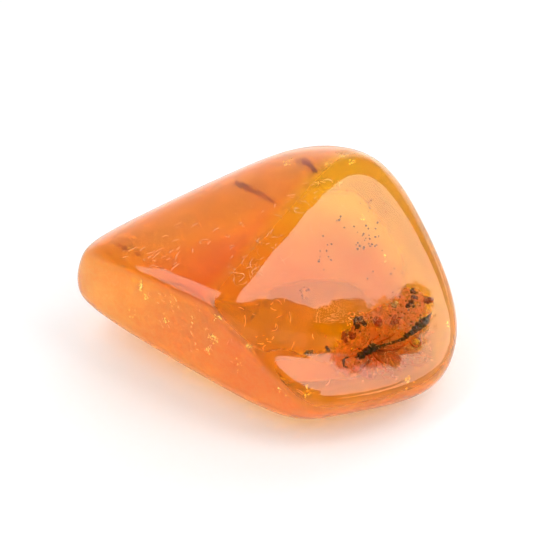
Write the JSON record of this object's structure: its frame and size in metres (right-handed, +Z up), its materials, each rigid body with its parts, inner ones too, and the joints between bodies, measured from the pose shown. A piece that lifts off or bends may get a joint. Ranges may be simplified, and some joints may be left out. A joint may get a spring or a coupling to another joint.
{
  "type": "insect in amber",
  "caption": "Polished amber pebble with a rounded window face, holding a small winged insect and scraps of bark inside the clear orange resin.",
  "frame": {"origin": "below the middle of the pebble's box, at the height that it rests on", "axes": "+Z up from the flat underside; +X along the pebble, from its narrow end to its broad end; the window face over the insect looks up, towards -Y and +X"},
  "size_m": [0.0352, 0.0284, 0.015],
  "materials": {
    "amber": "clear orange fossil resin with a hand polish",
    "insect": "dark brown chitin with a faint sheen",
    "dark_bark": "rough, almost black bark",
    "red_bark": "thin rust-red bark flake",
    "brown_resin": "darker globule of resin, see-through",
    "grey_scrap": "pale grey-brown crumb",
    "plant": "soft brown plant fibre"
  },
  "bodies": {
    "root": {"amber_lower": "amber", "amber_upper": "amber", "insect": "insect", "bark_crumb": "dark_bark", "brown_globule": "brown_resin", "curled_flake": "red_bark", "red_flake": "red_bark", "pale_chip": "grey_scrap", "black_crumb": "dark_bark", "black_splinter": "dark_bark", "rust_flake": "red_bark", "left_chip": "grey_scrap", "left_splinter": "dark_bark", "plant_fibre": "plant", "bark_strip": "plant", "dark_thread": "plant"}
  },
  "joints": []
}
